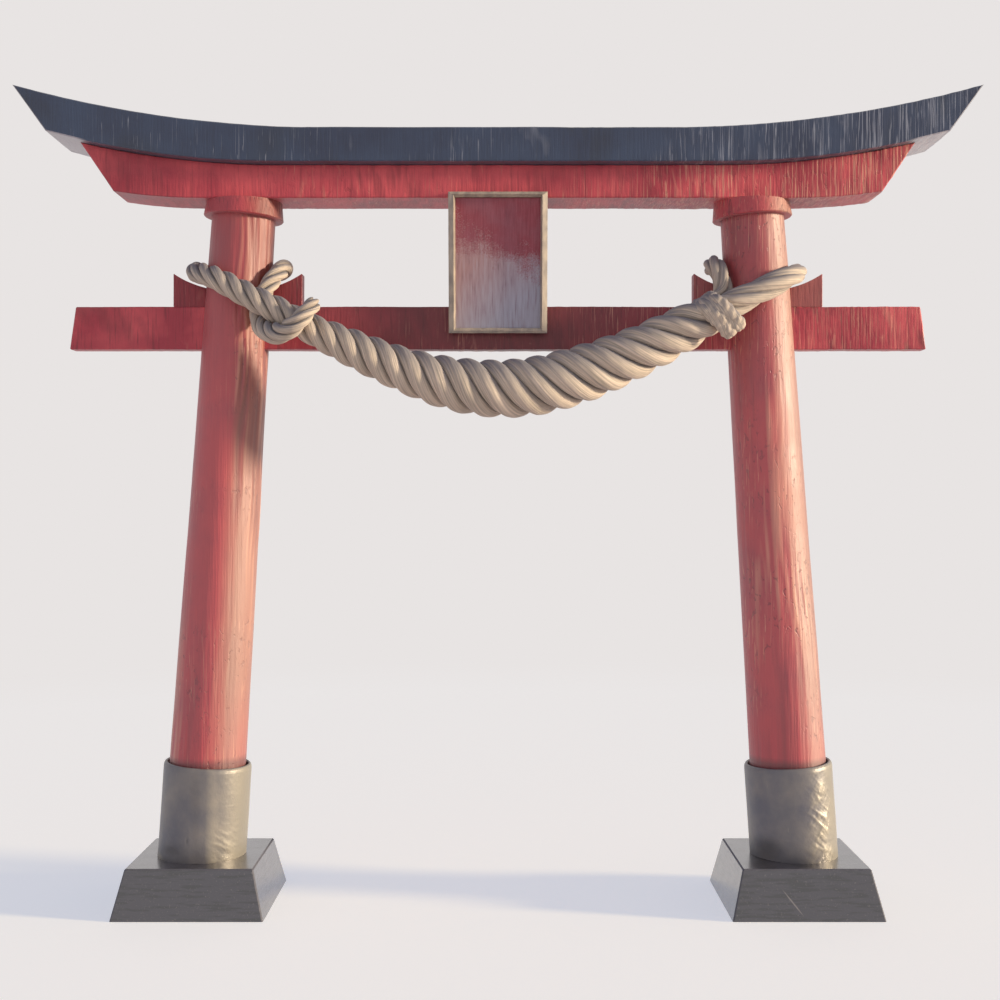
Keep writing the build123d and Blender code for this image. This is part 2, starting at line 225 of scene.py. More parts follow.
print("a strand of the belly is", round(2 * float(strand_size(0.12, 0.4, 0.55)[0]), 3), "m thick")

# %% [markdown]
# Each strand is a flat grid, rolled up round the strand's line as a sheet of paper round a
# stick. A grid brings its own UV map, so a pattern can run along the straw. The seam closes
# on the inner side, and the two ends are capped. A "valley" value says where the strand sinks
# between its neighbours, except in the flap, where the strands lie open.

# %% Roll up a strand
STRAND_SIDES = 48
VALLEY_STARTS, VALLEY_IS_DEEP = 0.9, 1.5  # radians round the strand from its crown


def roll_up(name, line, outward, flatness, section):
    """A tube: a grid rolled round a line, its seam inside and its ends closed."""
    rings = len(line)
    bm = bmesh.new()
    bm.loops.layers.uv.new("UVMap")
    bmesh.ops.create_grid(
        bm, x_segments=rings - 1, y_segments=STRAND_SIDES, size=0.5, calc_uvs=True
    )
    mesh = bpy.data.meshes.new(name)
    bm.to_mesh(mesh)
    grid = np.empty(len(mesh.vertices) * 3)
    mesh.vertices.foreach_get("co", grid)
    grid = grid.reshape(-1, 3)
    ring = np.rint((grid[:, 0] + 0.5) * (rings - 1)).astype(int)
    angle = (grid[:, 1] + 0.5) * 2 * math.pi + math.pi
    tangents = unit(np.gradient(line, axis=0))
    out = unit(outward - tangents * np.sum(outward * tangents, 1, keepdims=True))
    side = np.cross(tangents, out)
    turned = np.cos(angle)[:, None] * out[ring] + np.sin(angle)[:, None] * side[ring]
    placed = line[ring] + section(ring, angle)[:, None] * turned
    off_crown = np.abs((angle + math.pi) % (2 * math.pi) - math.pi)
    valley = ramp(off_crown, VALLEY_STARTS, VALLEY_IS_DEEP) * (1 - flatness[ring])
    mesh.attributes.new("valley", "FLOAT", "POINT").data.foreach_set("value", valley)
    mesh.vertices.foreach_set("co", placed.ravel())
    bm.clear()
    bm.from_mesh(mesh)
    bmesh.ops.remove_doubles(bm, verts=bm.verts, dist=NEAR)
    bmesh.ops.holes_fill(bm, edges=bm.edges, sides=STRAND_SIDES + 1)
    bmesh.ops.recalc_face_normals(bm, faces=bm.faces)
    for face in bm.faces:
        face.smooth = True
    bm.to_mesh(mesh)
    bm.free()
    return add_object(name, mesh)


print("a strand has", STRAND_SIDES, "sides and", len(rope_line), "rings")

# %% [markdown]
# Now the helix of every strand is worked out along the rope. The ends round off over their
# last 35 mm. From 4.98 m on, the strands leave the helix and lie side by side: that is the
# flap that is folded over the rope at the right pillar.

# %% Helix and flap
END_TAPER = 35 * MM
# A strand is round and full at a press of 1.1, and deep in its neighbours at 0.55.
PRESS_CHANGES_AT = [3.6, 3.9, 4.15, 4.5, 4.75, 5.0]
PRESS = [0.55, 0.7, 1.1, 1.1, 0.74, 0.66]
FLAP_STARTS, FLAP_IS_FLAT = 4.98, 5.14
UNDER_FLAP_STARTS, UNDER_FLAP_ENDS = 3.4, 4.0
FLAP_STRANDS_AT = [-31, -15, 15, 29]
FLAP_STRAND = 27 * MM

rope_tangents, rope_normals, rope_binormals = untwisted(rope_line)
turn = 2 * math.pi * np.cumsum(np.gradient(rope_along) / lay_pitch(rope_along))
strand_radius, helix_radius = strand_size(
    rope_radius(rope_along), lay_pitch(rope_along), np.interp(rope_along, PRESS_CHANGES_AT, PRESS)
)
from_end = np.minimum(rope_along, rope_along[-1] - rope_along)
ends = np.sqrt(np.clip(1 - (1 - np.clip(from_end / END_TAPER, 0, 1)) ** 2, 0.02, 1))
flat = ramp(rope_along, FLAP_STARTS, FLAP_IS_FLAT)
strand_radius = strand_radius * (1 - flat) + FLAP_STRAND * flat
under_flap = rope_line[(rope_along > UNDER_FLAP_STARTS) & (rope_along < UNDER_FLAP_ENDS)]
nearest = np.argmin(np.linalg.norm(rope_line[:, None] - under_flap[None], axis=2), axis=1)
away = rope_line - under_flap[nearest] + 1e-9  # never nothing, so that it has a direction
flap_side = unit(np.cross(rope_tangents, away))
print("turns in all", round(float(turn[-1]) / (2 * math.pi), 1))

# %% [markdown]
# A strand is not a perfect round. It bulges to one side, has a crease along it where the
# straw was twisted, and is lumpier in the flap. Each strand is declared as a cord of its
# own, because the four together are thicker than one cord may be.

# %% Strands of the rope
CREASE_AT, CREASE_WIDTH = math.radians(36), 0.2
CREASE_DEPTH, BULGE = 0.10, 0.10
LUMPS, LUMPS_IN_FLAP = 0.008, 0.068


def section(ring, angle):
    """How far the straw reaches from a strand's middle: proud on one side, creased."""
    off = (angle - CREASE_AT + math.pi) % (2 * math.pi) - math.pi
    crease = CREASE_DEPTH * np.exp(-((off / CREASE_WIDTH) ** 2)) * (1 - flat[ring])
    along = rope_along[ring]
    lump = np.sin(2 * angle + 95 * along) + np.sin(3 * angle - 160 * along + 1.3)
    lumps = (LUMPS + (LUMPS_IN_FLAP - LUMPS) * flat[ring]) * lump
    return strand_radius[ring] * ends[ring] * (1 - BULGE * np.sin(angle) - crease + lumps)


phases = [(turn + number * 2 * math.pi / STRANDS)[:, None] for number in range(STRANDS)]
outwards = [np.cos(p) * rope_normals + np.sin(p) * rope_binormals for p in phases]
at_flap = int(np.argmax(rope_along > FLAP_STARTS))
sideways = [float(outward[at_flap] @ flap_side[at_flap]) for outward in outwards]
strands = []
for number, outward in enumerate(outwards):
    in_flap = flap_side * FLAP_STRANDS_AT[sorted(sideways).index(sideways[number])] * MM
    centre = rope_line + (
        outward * (helix_radius * (1 - flat))[:, None] + in_flap * flat[:, None]
    )
    strand = roll_up(f"rope_strand_{number + 1}", centre, outward, flat, section)
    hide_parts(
        "rope_left_tail", "rope_left_wrap", "rope_middle", "rope_right_wrap",
        "rope_right_tail",
    )
    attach(strand, "root")
    strands.append(strand)

# %% [markdown]
# The timbers were squared with an adze and painted many times. A normal map could fake the
# strokes, but a low sun would show that the outline is still ruler-straight. So each timber
# is remade from its solid: cut into narrow faces, and each point moved in or out along its
# normal. How far it moved is kept with the point as "relief", so the paint can be paler on
# the ridges, with wear and a painted highlight, and darker in the grooves, with dirt and
# painted shade.

# %% Cut a solid finely
def reach(part, axis):
    """How far a vertex, edge or face goes along an axis."""
    if isinstance(part, bmesh.types.BMVert):
        return part.co[axis]
    return max(v.co[axis] for v in part.verts)


def slice_evenly(bm, axis, step):
    """Cuts all faces across an axis at even steps."""
    low = min(v.co[axis] for v in bm.verts)
    high = max(v.co[axis] for v in bm.verts)
    across = Vector((0, 0, 0))
    across[axis] = 1
    ahead = bm.verts[:] + bm.edges[:] + bm.faces[:]
    for place in np.linspace(low, high, max(2, round((high - low) / step) + 1))[1:-1]:
        cut = bmesh.ops.bisect_plane(
            bm, geom=ahead, dist=NEAR, plane_co=across * place, plane_no=across
        )
        ahead = [part for part in cut["geom"] if reach(part, axis) > place + NEAR]


def copy_of_solid(name):
    """A bmesh of a frame node, with its flat faces whole again."""
    bm = bmesh.new()
    bm.from_mesh(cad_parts[name].data)
    bmesh.ops.remove_doubles(bm, verts=bm.verts, dist=NEAR)
    bmesh.ops.dissolve_limit(
        bm, angle_limit=math.radians(1), verts=bm.verts, edges=bm.edges, delimit={"NORMAL"}
    )
    return bm


print("tie beam has", len(copy_of_solid("tie_beam").faces), "flat faces before it is cut")

# %% [markdown]
# Blender's noise is even: it swells up and down by the same amount everywhere and never
# changes from run to run. Stretched differently along each axis, it makes every mark on the
# gate, from a groove a metre long to the dent of a knock.

# %% Work a surface
CRISP = math.radians(35)  # edges that turn more than this stay sharp
RELIEF_OF_ONE = 2 * MM


def rough(place, size, seed=0.0):
    """Even noise from -1 to 1 whose swells are of this size, in metres, along x, y and z."""
    return noise.noise(Vector((
        place[0] / size[0] + seed, place[1] / size[1], place[2] / size[2]
    )))


def worked_piece(node, made, bm, depth, finish):
    """Moves each point along its normal by the depth there, and makes the piece of it."""
    name = f"{node}_{made}"
    bm.normal_update()
    relief = bm.verts.layers.float.new("relief")
    moves = [(v, v.normal.copy(), depth(v.co, v.normal)) for v in bm.verts]
    for vertex, normal, move in moves:
        vertex.co += normal * move
        vertex[relief] = move / RELIEF_OF_ONE
    bm.normal_update()
    for face in bm.faces:
        face.smooth = True
    for edge in bm.edges:
        edge.smooth = edge.calc_face_angle(0) < CRISP
    mesh = bpy.data.meshes.new(name)
    bm.to_mesh(mesh)
    bm.free()
    mesh.materials.append(finish)
    piece = add_object(name, mesh)
    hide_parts(node)
    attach(piece, "root")
    print(name, "triangles", sum(len(p.vertices) - 2 for p in mesh.polygons))
    return piece


# %% [markdown]
# Colours are written as sRGB hex, as a paint card shows them, and turned to the linear
# values that a shader works in. One function adds a node and its links, and each finish
# calls it by the short name add. Another lays coats over a colour, so that a finish reads
# as a short list of what lies over what.

# %% Tools for finishes
def linear(hex_code):
    """A colour written as sRGB hex, as the linear value that the sockets take."""
    parts = [int(hex_code[i : i + 2], 16) / 255 for i in (1, 3, 5)]
    return [c / 12.92 if c <= 0.04045 else ((c + 0.055) / 1.055) ** 2.4 for c in parts] + [1]


def add_node(material, kind, inputs=None, **settings):
    """Adds a node, and sets its inputs or links them to a socket or a node's first output.
    A colour may be given as hex."""
    node = material.node_tree.nodes.new("ShaderNode" + kind)
    for name, value in settings.items():
        setattr(node, name, value)
    for name, value in (inputs or {}).items():
        if isinstance(value, bpy.types.Node):
            value = next(output for output in value.outputs if output.enabled)
        if isinstance(value, bpy.types.NodeSocket):
            material.node_tree.links.new(value, node.inputs[name])
        else:
            socket = node.inputs[name]
            socket.default_value = linear(value) if isinstance(value, str) else value
    return node


def coats(add, colour, layers):
    """Lays coats over a colour. A coat is its colour and how much of it shows, or else a
    value, where that value starts to show the coat, where it shows most, and how much."""
    for coat, shown, *rise in layers:
        if rise:
            starts, most, share = rise
            shown = add(
                "MapRange", {"Value": shown, "From Min": starts, "From Max": most, "To Max": share}
            )
        colour = add("Mix", {0: shown, 6: colour, 7: coat}, data_type="RGBA")
    return colour


def new_finish(name, kept_in=bpy.data.materials):
    """An empty material or world, what adds a node to it, and the coordinates to follow."""
    material = kept_in.new(name)
    material.use_nodes = True
    material.node_tree.nodes.clear()
    add = partial(add_node, material)
    return material, add, add("TexCoord").outputs


def per_metre(*sizes_mm):
    """The scale of a pattern whose swells have these sizes in millimetres."""
    scales = tuple(1 / (size * MM) for size in sizes_mm)
    return scales if len(scales) > 1 else scales[0]


print("a swell of 200 mm is a noise scale of", per_metre(200))

# %% [markdown]
# The vermilion is a red lead and lacquer paint, laid on with a broad brush over the adze
# marks. An even red would look like plastic, so the finish is built up in coats: blotches
# first, then painted shade in a beam's middle and under the eaves, a redder foot, the sunny
# side painted paler as painted light, dark strokes, grooves darker with dirt and painted
# shade, ridges paler with bare wood and painted highlight, scratches, painted shade where a
# pillar enters its sleeve, and last the pits of old knocks.

# %% Painted timber
# Lacquered paint is half matt, so a low sun draws a wide soft sheen along a pillar, and its
# clear top coat gives the shaded side a little of the sky.
EAVES_SHADE_RED, NEW_RED, SLEEVE_MOUTH_SHADE = "#90101F", "#BC2C38", "#48131A"


def painted_timber(
    name, colours, stroke_mm, slant=0, bare_share=0.5, gloss=0.4, coat=0.5, painted_middle_shade=0.0,
    dark_streaks=0.5, ior=1.5, painted_light_side=(1, 0, 0), painted_light_colour="#A37462", painted_light_share=0.0,
    painted_light_from=0.0, eaves_shade_colour="#A37462", drift=0.0, pitted=1.0, groove_dirt_and_shade=0.7,
    painted_eaves_shade=0.0,
):
    """Brushed paint over hewn wood. Colours run dirt, deep, light, bare."""
    dirt, deep, light, bare = colours
    paint, add, follow = new_finish(name)
    place = follow["Object"]
    relief = add("Attribute", attribute_name="relief").outputs["Fac"]
    where = add("SeparateXYZ", {0: place}).outputs
    off_middle = add("Math", {0: where["X"]}, operation="ABSOLUTE")
    blotches = add("TexNoise", {"Vector": place, "Scale": per_metre(200), "Detail": 4.0})

    # Close under the lintels the red is painted deeper and darker, as painted shade of the eaves,
    # and its ridges are less often paler there.
    eaves_shade = add(
        "MapRange", {"Value": where["Z"], "From Min": 2.0, "From Max": 2.75, "To Max": painted_eaves_shade}
    )
    ridge_wear_and_highlight = add("Math", {0: eaves_shade, 1: -0.825, 2: 0.55}, operation="MULTIPLY_ADD")
    # The foot of a pillar is repainted more often than the rest, so it is redder.
    repainted = add(
        "MapRange", {"Value": where["Z"], "From Min": 0.95, "From Max": 0.5, "To Max": 0.6}
    )
    painted_light_share_here = add(
        "Math", {0: repainted, 1: -0.7 * painted_light_share, 2: painted_light_share}, operation="MULTIPLY_ADD"
    )
    # The pale painted reflection under the black lintel shows only beyond the spot where the red
    # one ends.
    painted_light_shown = add(
        "MapRange",
        {"Value": off_middle, "From Min": painted_light_from - 0.04, "From Max": painted_light_from,
         "To Max": painted_light_share_here},
    )
    facing_painted_light = add("VectorMath", {0: follow["Normal"], 1: painted_light_side}, operation="DOT_PRODUCT")
    # Painted shade of the eaves darkens the painted light, from lower down on the left pillar
    # than on the right.
    shade_line = add("Math", {0: where["X"], 1: -0.5, 2: where["Z"]}, operation="MULTIPLY_ADD")
    painted_light = coats(add, painted_light_colour, [(eaves_shade_colour, shade_line, 1.95, 2.8, 1.0)])

    turned = (0, math.radians(slant), 0)
    brushed = add("Mapping", {"Vector": place, "Rotation": turned, "Scale": per_metre(*stroke_mm)})
    strokes = add("TexNoise", {"Vector": brushed, "Scale": 1.0, "Detail": 4.0})
    wide_mm, deep_mm, long_mm = stroke_mm
    # Scratches are finer and longer than strokes, and shifted, so that they don't lie on them.
    scraped = add(
        "Mapping",
        {"Vector": place, "Rotation": turned, "Location": (3.1, 1.7, 0.4),
         "Scale": per_metre(wide_mm * 0.5, deep_mm, long_mm * 1.1)},
    )
    scratches = add(
        "TexNoise", {"Vector": scraped, "Scale": 1.0, "Detail": 2.0, "Distortion": 1.1}
    )
    patches = add("TexNoise", {"Vector": place, "Scale": per_metre(450), "Detail": 1.0})
    # Scratches and the patches that they keep to gather towards the right.
    crowded, spread = (
        add("Math", {0: where["X"], 1: drift, 2: marks}, operation="MULTIPLY_ADD")
        for marks in (scratches, patches)
    )
    patch = add(
        "MapRange", {"Value": spread, "From Min": 0.42, "From Max": 0.58, "To Max": bare_share}
    )
    knocks = add("Mapping", {"Vector": place, "Scale": per_metre(20, 20, 36)})
    pits = add("TexNoise", {"Vector": knocks, "Scale": 1.0, "Detail": 2.0, "Distortion": 0.8})
    pit = add("MapRange", {"Value": pits, "From Min": 0.62, "From Max": 0.67, "To Max": pitted})
    pit = add("Math", {0: pit, 1: patch}, operation="MULTIPLY")

    # A pillar is painted darker in the mouth of its sleeve, at 0.6 m, as painted shade of the rim.
    colour = coats(add, deep, [
        (light, blotches, 0.35, 0.65, 1.0),
        # painted shade: darker towards the middle of a beam
        (dirt, off_middle, 1.15, 0.3, painted_middle_shade),
        # painted shade of the eaves: a deeper, darker red high up
        (EAVES_SHADE_RED, eaves_shade),
        (NEW_RED, repainted),
        # painted light: the side that faces the sun is paler
        (painted_light, facing_painted_light.outputs["Value"], 0.1, 0.6, painted_light_shown),
        (dirt, strokes, 0.46, 0.28, dark_streaks),
        # grooves darker, with dirt and painted shade; ridges paler, with wear and painted
        # highlight
        (dirt, relief, -0.3, -1.0, groove_dirt_and_shade),
        (bare, relief, 0.2, 0.9, ridge_wear_and_highlight),
        (bare, crowded, 0.61, 0.66, patch),
        # painted shade where a pillar enters the mouth of its sleeve
        (SLEEVE_MOUTH_SHADE, where["Z"], 0.618, 0.592, 0.65),
        (dirt, pit),
    ])

    # Brushed paint has grit of under a millimetre. It is drawn at 6 mm, so that it shows.
    grit = add("TexNoise", {"Vector": place, "Scale": per_metre(6), "Detail": 2.0})
    height = add("Math", {0: grit, 1: 0.15, 2: strokes}, operation="MULTIPLY_ADD")
    height = add("Math", {0: pit, 1: -1.5, 2: height}, operation="MULTIPLY_ADD")
    bump = add("Bump", {"Height": height, "Strength": 0.7, "Distance": 3.5 * MM})
    dull = add(
        "MapRange",
        {"Value": blotches, "From Min": 0.3, "From Max": 0.7,
         "To Min": gloss - 0.04, "To Max": gloss + 0.08},
    )
    shader = add(
        "BsdfPrincipled",
        {"Base Color": colour, "Roughness": dull, "Normal": bump, "IOR": ior,
         "Coat Weight": coat, "Coat Roughness": gloss + 0.08,
         "Sheen Weight": 0.15, "Sheen Roughness": 0.45},
    )
    add("OutputMaterial", {"Surface": shader})
    return paint


# %% [markdown]
# The same paint differs from piece to piece. The pillars and their collars are painted paler
# on the side that faces the sun, as painted light, and darker under the eaves, as painted
# shade. The lintels are scratched more and more towards the right. The tie beam's middle is
# painted darker, as painted shade.

# %% Paints of this gate
RED = ("#4E1A22", "#A93541", "#C0474C", "#E6AC8E")
FADED_RED = ("#521A22", "#AE3142", "#DA585F", "#E8AC90")
DUSTY_RED = ("#4A1C22", "#93303A", "#9F4046", "#D8A890")
BLACK = ("#0D1420", "#102243", "#233756", "#B4BAC6")
PAINTED_REFLECTION_GREY = "#C4C0C4"
pillar_paint = painted_timber(
    "vermilion_on_pillars", RED, (9, 9, 260), gloss=0.52, coat=0.5, dark_streaks=0.12,
    ior=1.8, painted_light_share=0.9, eaves_shade_colour="#8A3A26", pitted=0.9, groove_dirt_and_shade=0.3,
    painted_eaves_shade=0.55,
)
collar_paint = painted_timber(
    "vermilion_on_collars", RED, (9, 9, 60), gloss=0.52, coat=0.3, ior=1.6, painted_light_share=0.9,
    painted_light_colour="#C08E78", eaves_shade_colour="#7C3224",
)
lintel_paint = painted_timber(
    "vermilion_on_lintel", FADED_RED, (10, 60, 170), gloss=0.48, coat=0.15, bare_share=0.6,
    drift=0.055, dark_streaks=0.3, pitted=0.3, groove_dirt_and_shade=0.5,
)
beam_paint = painted_timber(
    "vermilion_on_beam", FADED_RED, (9, 60, 140), slant=-18, gloss=0.45, coat=0.2,
    painted_middle_shade=0.8, drift=0.04, pitted=0.2, bare_share=0.42,
)
# The wedges' front faces are painted a paler, greyer red, as painted light.
wedge_paint = painted_timber(
    "vermilion_on_wedges", DUSTY_RED, (9, 60, 140), slant=-18, gloss=0.5, coat=0.1, pitted=0.2,
    bare_share=0.3, painted_light_side=(0, -1, 0), painted_light_share=0.45, painted_light_colour="#B4766E",
    eaves_shade_colour="#93303A",
)
# Black lacquer is smoother and glossier than the red, so the sky tints it blue. The
# underside of its open ends is painted a pale grey, a painted reflection of the pale floor.
top_paint = painted_timber(
    "black_lacquer_on_lintel", BLACK, (10, 60, 200), gloss=0.36, coat=0.6,
    painted_light_side=(0, 0, -1), painted_light_colour=PAINTED_REFLECTION_GREY, painted_light_share=0.8, painted_light_from=1.71,
    eaves_shade_colour=PAINTED_REFLECTION_GREY, drift=0.028, bare_share=0.5, dark_streaks=0.2, pitted=0.0,
)
paints = (pillar_paint, collar_paint, lintel_paint, beam_paint, wedge_paint, top_paint)
print("paints", [paint.name for paint in paints])

# %% [markdown]
# The pillars are whole logs, dressed with long strokes of the adze and leaning towards each
# other. The solids are tapered prisms with few sides, which would show as flats in a low
# sun, so each pillar is made again as a round cone. It is turned to its lean and cut off
# level at its foot and top, where it meets the plinth and the collar.

# %% Pillars
LEAN = math.radians(3.75)
FOOT_OFF_MIDDLE = 1.236
FOOT_RADIUS, TOP_RADIUS = 161 * MM, 130 * MM
SPARE = 30 * MM  # the cone is this much too long at both ends
PILLAR_SIDES = 160


def pillar_relief(place, normal, seed, sign):
    """Long grooves that follow the log, gathered in patches, on broad hewn flats. They are
    deepest on the side that takes the weather, the right."""
    upright = Vector((place.x + sign * place.z * math.tan(LEAN), place.y, place.z))
    flats = 2.2 * rough(upright, (0.11, 0.11, 0.9), seed)
    wander = 0.02 * rough(upright, (0.2, 0.2, 0.35), seed + 5)
    bent = Vector((upright.x + wander, upright.y + wander, upright.z))
    grooves = rough(bent, (0.017, 0.017, 0.45), seed + 9)
    patch = min(1, max(0.15, 0.5 + 1.6 * rough(upright, (0.25, 0.25, 0.6), seed + 2)))
    weathered = 1 + 0.8 * min(1, max(0, 2.5 * normal.x))
    return (flats + 2.4 * patch * weathered * grooves) * MM


def cut_level(bm, place, **cleared):
    """Cuts off what lies beyond a level plane, and gives the edges of the cut."""
    cut = bmesh.ops.bisect_plane(
        bm, geom=bm.verts[:] + bm.edges[:] + bm.faces[:], dist=NEAR / 10,
        plane_co=place, plane_no=(0, 0, 1), **cleared,
    )
    return [part for part in cut["geom_cut"] if isinstance(part, bmesh.types.BMEdge)]


for side, sign in SIDES:
    name = f"{side}_pillar"
    low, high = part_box(name)
    tall = (high.z - low.z) / math.cos(LEAN)
    taper = (FOOT_RADIUS - TOP_RADIUS) / tall
    bm = bmesh.new()
    bmesh.ops.create_cone(
        bm, cap_ends=True, segments=PILLAR_SIDES, depth=tall + 2 * SPARE,
        radius1=FOOT_RADIUS + taper * SPARE, radius2=TOP_RADIUS - taper * SPARE,
        matrix=Matrix.Translation((0, 0, tall / 2)),
    )
    stand = Matrix.Translation((sign * FOOT_OFF_MIDDLE, 0, low.z))
    lean = Matrix.Rotation(-sign * LEAN, 4, "Y")
    bmesh.ops.transform(bm, verts=bm.verts, matrix=stand @ lean)
    bmesh.ops.contextual_create(bm, geom=cut_level(bm, (0, 0, low.z), clear_inner=True))
    bmesh.ops.contextual_create(bm, geom=cut_level(bm, (0, 0, high.z), clear_outer=True))
    slice_evenly(bm, 2, 18 * MM)
    worked_piece(
        name, "hewn", bm, lambda co, no: pillar_relief(co, no, 3.0 * sign, sign),
        pillar_paint,
    )

# %% [markdown]
# The lintels carry the marks of short strokes across the grain, close together towards the
# right end. The tie beam's strokes lie aslant. Their sweeping outline is already in the
# solids, so these are copied, cut into slices as narrow as a stroke, and roughened.

# %% Lintels and tie beam
def stroke_relief(place, size, seed, deepest, slant=0.0):
    """Strokes across a beam, thin ridges between them, more of them to the right."""
    leaning = Vector((place.x + slant * place.z, place.y, place.z))
    crowd = min(1, max(0.2, 0.55 + 0.22 * place.x + 0.9 * rough(place, (0.5, 0.5, 0.5), seed)))
    stroke = rough(leaning, size, seed + 3)
    ridge = (1 - abs(rough(leaning, (size[0] * 1.7, size[1], size[2] * 1.3), seed + 7))) ** 6
    swell = 1.2 * rough(place, (0.25, 0.2, 0.2), seed + 1)
    return (swell + crowd * (0.8 * deepest * stroke + deepest * ridge) - 0.5 * deepest) * MM


def cut_finely(name, along_mm, up_mm, deep_mm):
    """A copy of a solid, cut into slices this wide: along X first, then up, then back."""
    bm = copy_of_solid(name)
    for axis, step in ((0, along_mm), (2, up_mm), (1, deep_mm)):
        slice_evenly(bm, axis, step * MM)
    return bm


# Each beam: its slices, its strokes' size, seed, depth and slant, its slot and its paint.
BEAMS = {
    "lower_lintel": (
        (8, 30, 40), ((0.02, 0.15, 0.12), 1.0, 2.0, 0.0), "vermilion_paint", lintel_paint
    ),
    "top_lintel": ((9, 30, 45), ((0.035, 0.2, 0.15), 6.0, 1.0, 0.0), "black_paint", top_paint),
    "tie_beam": (
        (9, 26, 30), ((0.024, 0.2, 0.16), 11.0, 1.5, 0.35), "vermilion_paint", beam_paint
    ),
}
for name, (steps_mm, strokes, slot, finish) in BEAMS.items():
    worked_piece(
        name, "hewn", cut_finely(name, *steps_mm), lambda co, _: stroke_relief(co, *strokes),
        finish,
    )

# %% [markdown]
# Four wedges hold the tie beam in the pillars' mortises. They are offcuts with a hollowed
# back, dressed with the same strokes, so they are cut finely and roughened in the same way.

# %% Wedges
for side, sign in SIDES:
    for name in (f"{side}_outer_wedge", f"{side}_inner_wedge"):
        worked_piece(
            name, "hewn", cut_finely(name, 11, 11, 11),
            lambda co, _: 0.8 * stroke_relief(co, (0.03, 0.1, 0.07), 14.0 * sign, 0.8),
            wedge_paint,
        )

# %% [markdown]
# A sleeve keeps the foot of each pillar dry. It is thin copper sheet that has turned a dull
# lead grey. Bare polished metal would mirror the whole floor, so this one is mostly oxide:
# a third metallic, half rough. Rubbed folds are paler and hollows hold dirt. The side that
# faces the sun is painted paler, as painted light, and the foot is painted darker, as painted
# shade where it meets the plinth.

# %% Finish of the sleeves
# Oxidised sheet gives a broad dim sheen, with small bright glints on its sharpest folds.
copper, add, follow = new_finish("weathered_copper_sheet")
place = follow["Object"]
relief = add("Attribute", attribute_name="relief").outputs["Fac"]
level = add("SeparateXYZ", {0: place}).outputs["Z"]
sunny = add("SeparateXYZ", {0: follow["Normal"]}).outputs["X"]
clouds = add("TexNoise", {"Vector": place, "Scale": per_metre(143), "Detail": 5.0})
hairs = add("Mapping", {"Vector": place, "Scale": per_metre(5, 5, 60)})
scuffs = add("TexNoise", {"Vector": hairs, "Scale": 1.0, "Detail": 2.0})
CLEAN, CLOUDED, PAINTED_FOOT_SHADE = "#686870", "#8A8580", "#3E3D46"
PAINTED_SUNLIGHT, RUBBED, SUNK, SCUFFED = "#A09A8A", "#BDB49E", "#3A383B", "#C6BCA6"
colour = coats(add, CLEAN, [
    (CLOUDED, clouds, 0.35, 0.68, 1.0),
    # painted shade at the foot, where the sleeve meets the plinth
    (PAINTED_FOOT_SHADE, level, 0.29, 0.2, 0.5),
    # painted light: the side that faces the sun is paler
    (PAINTED_SUNLIGHT, sunny, 0.35, 0.85, 0.85),
    (RUBBED, relief, 0.3, 1.4, 0.45),
    (SUNK, relief, -0.6, -2.4, 0.6),
    (SCUFFED, scuffs, 0.72, 0.8, 0.25),
])
crinkle = add("TexNoise", {"Vector": place, "Scale": per_metre(17), "Detail": 4.0})
folding = add(
    "Mapping",
    {"Vector": place, "Rotation": (0, math.radians(40), 0), "Scale": per_metre(90, 90, 26)},
)
folds = add(
    "TexNoise", {"Vector": folding, "Scale": 1.0, "Detail": 3.0}, noise_type="RIDGED_MULTIFRACTAL"
)
crumpled = add("MapRange", {"Value": sunny, "From Min": 0.05, "From Max": 0.35, "To Max": 0.9})
height = add("Math", {0: folds, 1: crumpled, 2: crinkle}, operation="MULTIPLY_ADD")
bump = add("Bump", {"Height": height, "Strength": 0.4, "Distance": 3 * MM})
dull = add(
    "MapRange", {"Value": clouds, "From Min": 0.3, "From Max": 0.7, "To Min": 0.42, "To Max": 0.5}
)
shader = add(
    "BsdfPrincipled",
    {"Base Color": colour, "Metallic": 0.35, "Roughness": dull, "Normal": bump,
     "Coat Weight": 0.3, "Coat Roughness": 0.45},
)
add("OutputMaterial", {"Surface": shader})
print(copper.name, len(copper.node_tree.nodes), "nodes")

# %% [markdown]
# The sheet is wrapped round the pillar with its lip rolled over and standing off the wood.
# A cylinder would have no lip and no thickness, so the real profile is drawn and spun round
# the pillar's axis. Years of knocks have dented both sleeves, and the right one has
# crumpled like foil towards the sun. Dents are smooth bells, and folds are sharp ridges of
# noise that run aslant.

# %% Dents and folds
SLEEVE_RADIUS = 0.18
FOLD_COSINE, FOLD_SINE = 0.77, 0.64  # the folds slant by 40 degrees
# A knock: mm outwards, degrees round from the front and its spread, metres up and its spread.
KNOCKS = {
    "left": [
        (-3.5, -34, 18, 0.045, 0.028), (3.0, -62, 20, 0.0, 0.03), (-3.0, -8, 1.6, 0.09, 0.012),
    ],
    "right": [(-5.0, -52, 26, 0.05, 0.05)],
}


def bell(distance, width):
    """1 at a spot, falling smoothly to nothing round it."""
    return math.exp(-((distance / width) ** 2))


def creases(arc, up, seed):
    """Sharp folds of crumpled foil that run down to the right, from 0 to about 1."""
    along, across = FOLD_COSINE * arc - FOLD_SINE * up, FOLD_SINE * arc + FOLD_COSINE * up
    wide = 1 - abs(noise.noise(Vector((along / 0.13, across / 0.028, seed)))) * 2.4
    fine = 1 - abs(noise.noise(Vector((along / 0.07, across / 0.012, seed + 4)))) * 2.4
    return max(0, wide) ** 2 + 0.6 * max(0, fine) ** 2


